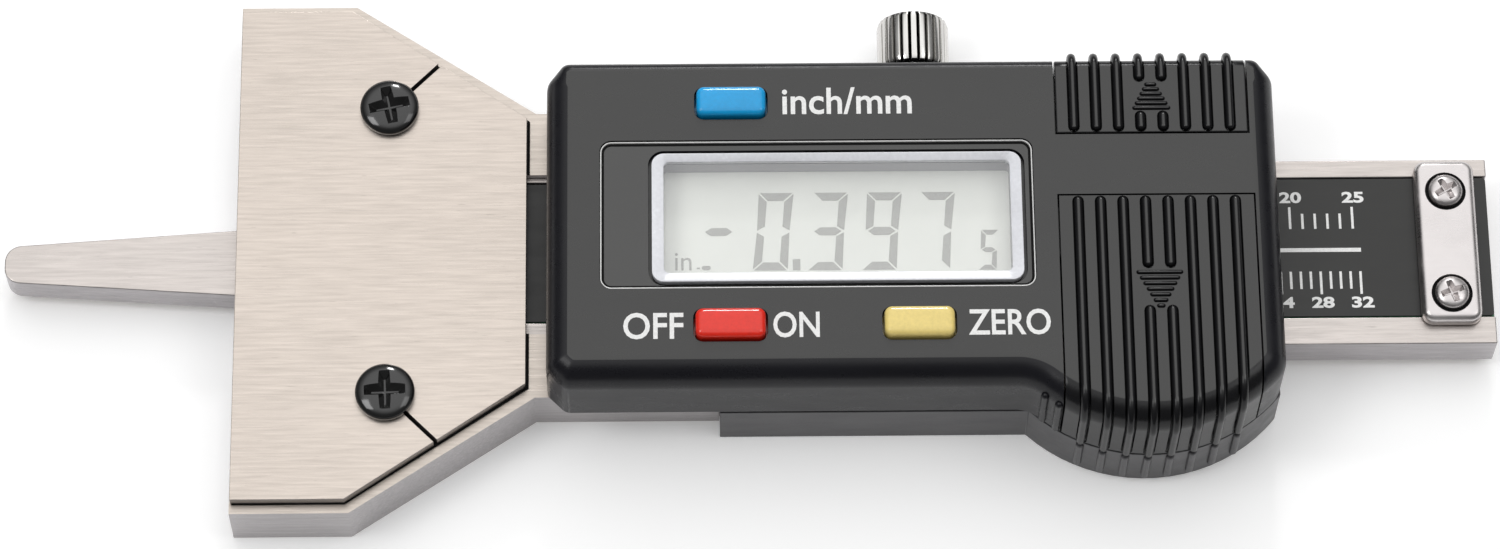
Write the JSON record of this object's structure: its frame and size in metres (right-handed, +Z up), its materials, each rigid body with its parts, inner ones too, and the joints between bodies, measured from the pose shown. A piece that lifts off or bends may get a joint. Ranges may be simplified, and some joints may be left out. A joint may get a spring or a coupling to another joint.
{
  "type": "tire tread gauge",
  "caption": "Digital tire tread gauge: a probe on a sliding beam passes through a steel foot; a plastic housing holds a display, buttons, ribbed covers and a thumb lock screw.",
  "frame": {"origin": "on the surface it lies on, under the middle of its bounding box at rest", "axes": "+X along the beam, away from the probe; +Y across, towards the thumb screw; +Z up, out of the display"},
  "size_m": [0.1186, 0.0438, 0.013],
  "materials": {
    "frame_steel": "brushed",
    "cover_steel": "brushed lengthwise",
    "beam_steel": "brushed lengthwise",
    "plate_steel": "brushed",
    "plate_screws": "turned",
    "black_screws": "blackened, glossy",
    "nickel": "bright nickel",
    "nickel_screws": "bright nickel",
    "lock_metal": "bright, fluted",
    "contact_metal": "plated spring metal",
    "cell_metal": "satin",
    "brass": "satin",
    "housing_plastic": "fine satin",
    "rear_plastic": "fine satin",
    "cover_plastic": "fine satin, ribbed",
    "blue_plastic": "gloss",
    "red_plastic": "gloss",
    "yellow_plastic": "gloss",
    "scale_label": "printed film",
    "scale_strip": "etched board",
    "circuit_board": "solder mask",
    "chip": "moulded",
    "elastomer": "soft",
    "lens": "clear, polished edges",
    "lcd_glass": "display glass",
    "reflector": "film"
  },
  "bodies": {
    "gauge_body": {"frame_body": "frame_steel", "foot_cover": "cover_steel", "back_plate": "plate_steel", "foot_screw_upper": "black_screws", "foot_screw_lower": "black_screws", "gib_strip": "brass", "gib_screw_left": "black_screws", "gib_screw_right": "black_screws", "housing": "housing_plastic", "rear_cover": "rear_plastic", "window_lens": "lens", "lcd_glass": "lcd_glass", "lcd_reflector": "reflector", "zebra_strip_upper": "elastomer", "zebra_strip_lower": "elastomer", "circuit_board": "circuit_board", "processor_chip": "chip", "data_contacts": "brass", "blue_dome": "contact_metal", "red_dome": "contact_metal", "yellow_dome": "contact_metal", "button_cell": "cell_metal", "battery_contact_lower": "contact_metal", "battery_contact_side": "contact_metal", "housing_screw_upper": "black_screws", "housing_screw_lower": "black_screws", "rear_cover_screw_upper": "black_screws", "rear_cover_screw_lower": "black_screws", "back_plate_screw_1": "plate_screws", "back_plate_screw_2": "plate_screws", "back_plate_screw_3": "plate_screws", "back_plate_screw_4": "plate_screws"},
    "sliding_beam": {"beam": "beam_steel", "scale_strip": "scale_strip", "scale_label": "scale_label", "end_stop": "nickel", "end_stop_screw_upper": "nickel_screws", "end_stop_screw_lower": "nickel_screws"},
    "blue_button": {"blue_button": "blue_plastic"},
    "red_button": {"red_button": "red_plastic"},
    "yellow_button": {"yellow_button": "yellow_plastic"},
    "battery_cover": {"battery_cover": "cover_plastic"},
    "data_cover": {"data_cover": "cover_plastic"},
    "lock_pad": {"lock_pad": "brass"},
    "lock_screw": {"lock_screw": "lock_metal"}
  },
  "joints": [
    {"name": "beam_slide", "type": "slide", "parent": "gauge_body", "child": "sliding_beam", "axis": [1, 0, 0], "range_m": [-0.0113, 0.0185]},
    {"name": "blue_press", "type": "slide", "parent": "gauge_body", "child": "blue_button", "axis": [0, 0, -1], "range_m": [0, 0.0004], "stiffness_N_per_m": 2500},
    {"name": "red_press", "type": "slide", "parent": "gauge_body", "child": "red_button", "axis": [0, 0, -1], "range_m": [0, 0.0004], "stiffness_N_per_m": 2500},
    {"name": "yellow_press", "type": "slide", "parent": "gauge_body", "child": "yellow_button", "axis": [0, 0, -1], "range_m": [0, 0.0004], "stiffness_N_per_m": 2500},
    {"name": "battery_cover_slide", "type": "slide", "parent": "gauge_body", "child": "battery_cover", "axis": [0, -1, 0], "range_m": [0, 0.02]},
    {"name": "data_cover_slide", "type": "slide", "parent": "gauge_body", "child": "data_cover", "axis": [0, 1, 0], "range_m": [0, 0.0075]},
    {"name": "lock_pad_slide", "type": "slide", "parent": "gauge_body", "child": "lock_pad", "axis": [0, 1, 0], "range_m": [-0.0002, 0.0005]},
    {"name": "lock_screw_turn", "type": "hinge", "parent": "lock_pad", "child": "lock_screw", "pos_m": [0.01355, 0, 0.0032], "axis": [0, 1, 0], "range_deg": [-144.5, 360.5]}
  ],
  "couplings": [
    {"joint": "lock_screw_turn", "follows": "lock_pad_slide", "rad_per_m": 12566}
  ]
}
